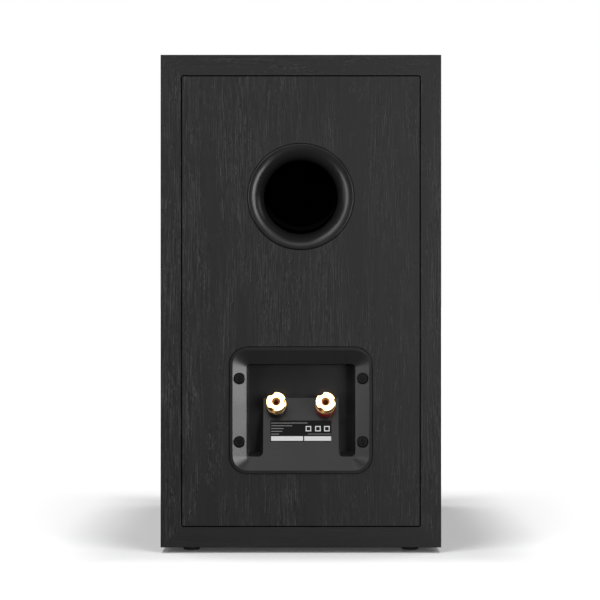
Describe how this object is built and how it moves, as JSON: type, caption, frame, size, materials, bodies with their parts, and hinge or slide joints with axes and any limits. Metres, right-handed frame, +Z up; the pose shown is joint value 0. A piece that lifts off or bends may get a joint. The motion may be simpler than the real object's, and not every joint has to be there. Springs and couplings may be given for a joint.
{
  "type": "bookshelf speaker",
  "caption": "Rear-ported two-way bookshelf loudspeaker: mitred black ash cabinet, flared port, dished terminal cup with gold binding posts, removable cloth grille.",
  "frame": {"origin": "under the centre of the bounding box, on the plane of the rubber feet", "axes": "+Z up, -Y out of the front baffle and grille, +Y out of the rear panel with the port and terminals, +X to the right seen from the front"},
  "size_m": [0.2, 0.3138, 0.355],
  "materials": {
    "black_ash": "satin",
    "baffle_black": "satin",
    "raw_board": "matte",
    "wadding": "matte",
    "moulded_black": "satin",
    "foam": "matte",
    "black_screws": "satin",
    "label_film": "satin",
    "red_plastic": "gloss",
    "black_gloss": "gloss",
    "gold_plate": "polished",
    "nickel": "satin",
    "cast_frame": "satin",
    "motor_steel": "satin",
    "ferrite": "matte",
    "cone_paper": "matte",
    "copper_wire": "satin",
    "inductor_copper": "satin",
    "surround_rubber": "satin",
    "foot_rubber": "matte",
    "spider_cloth": "matte",
    "dome_cloth": "satin",
    "grille_board": "matte",
    "grille_fabric": "matte",
    "circuit_board": "satin",
    "capacitor_film": "gloss",
    "resistor_ceramic": "matte",
    "lead_sleeve": "satin"
  },
  "bodies": {
    "cabinet": {"top_panel": "black_ash", "bottom_panel": "black_ash", "left_side_panel": "black_ash", "right_side_panel": "black_ash", "rear_panel": "black_ash", "front_baffle": "baffle_black", "shelf_brace": "raw_board", "damping_pads": "wadding", "rubber_feet": "foot_rubber", "port_tube": "moulded_black", "terminal_cup": "moulded_black", "terminal_gasket": "foam", "terminal_screws": "black_screws", "rating_label": "label_film", "positive_post_base": "red_plastic", "positive_post_stud": "gold_plate", "negative_post_base": "black_gloss", "negative_post_stud": "gold_plate", "post_nuts": "nickel", "post_solder_tabs": "nickel", "woofer_basket": "cast_frame", "woofer_top_plate": "motor_steel", "woofer_magnet": "ferrite", "woofer_pole_piece": "motor_steel", "woofer_surround": "surround_rubber", "woofer_trim_ring": "surround_rubber", "woofer_spider": "spider_cloth", "woofer_screws": "black_screws", "woofer_terminals": "moulded_black", "tweeter_faceplate": "moulded_black", "tweeter_screws": "black_screws", "tweeter_surround": "surround_rubber", "tweeter_top_plate": "motor_steel", "tweeter_magnet": "ferrite", "tweeter_pole_piece": "motor_steel", "tweeter_rear_cup": "moulded_black", "tweeter_terminals": "moulded_black", "grille_sockets": "surround_rubber", "crossover_board": "circuit_board", "crossover_standoffs": "moulded_black", "crossover_inductors": "inductor_copper", "crossover_capacitors": "capacitor_film", "crossover_resistors": "resistor_ceramic", "input_leads": "lead_sleeve", "woofer_leads": "lead_sleeve", "tweeter_leads": "lead_sleeve"},
    "positive_washer": {"positive_clamp_washer": "gold_plate"},
    "positive_cap": {"positive_post_cap": "gold_plate"},
    "negative_washer": {"negative_clamp_washer": "gold_plate"},
    "negative_cap": {"negative_post_cap": "gold_plate"},
    "woofer_moving": {"woofer_cone": "cone_paper", "woofer_dust_cap": "cone_paper", "woofer_voice_coil": "copper_wire"},
    "tweeter_moving": {"tweeter_dome": "dome_cloth", "tweeter_voice_coil": "copper_wire"},
    "grille": {"grille_frame": "grille_board", "grille_cloth": "grille_fabric", "grille_pegs": "moulded_black"}
  },
  "joints": [
    {"name": "positive_washer_lift", "type": "slide", "parent": "cabinet", "child": "positive_washer", "axis": [0, 0.9397, 0.342], "range_m": [0, 0.005]},
    {"name": "positive_cap_turn", "type": "hinge", "parent": "positive_washer", "child": "positive_cap", "pos_m": [-0.0176, 0.14761, 0.10546], "axis": [0, 0.9397, 0.342], "range_deg": [0, 1800]},
    {"name": "negative_washer_lift", "type": "slide", "parent": "cabinet", "child": "negative_washer", "axis": [0, 0.9397, 0.342], "range_m": [0, 0.005]},
    {"name": "negative_cap_turn", "type": "hinge", "parent": "negative_washer", "child": "negative_cap", "pos_m": [0.0176, 0.14761, 0.10546], "axis": [0, 0.9397, 0.342], "range_deg": [0, 1800]},
    {"name": "woofer_excursion", "type": "slide", "parent": "cabinet", "child": "woofer_moving", "axis": [0, -1, 0], "range_m": [-0.005, 0.005], "stiffness_N_per_m": 1000, "deforming": ["woofer_surround", "woofer_spider"]},
    {"name": "tweeter_excursion", "type": "slide", "parent": "cabinet", "child": "tweeter_moving", "axis": [0, -1, 0], "range_m": [-0.0003, 0.0003], "stiffness_N_per_m": 100, "deforming": ["tweeter_surround"]},
    {"name": "grille_removal", "type": "slide", "parent": "cabinet", "child": "grille", "axis": [0, -1, 0], "range_m": [0, 0.06]}
  ],
  "couplings": [
    {"joint": "positive_cap_turn", "follows": "positive_washer_lift", "rad_per_m": 6283.2},
    {"joint": "negative_cap_turn", "follows": "negative_washer_lift", "rad_per_m": 6283.2}
  ]
}
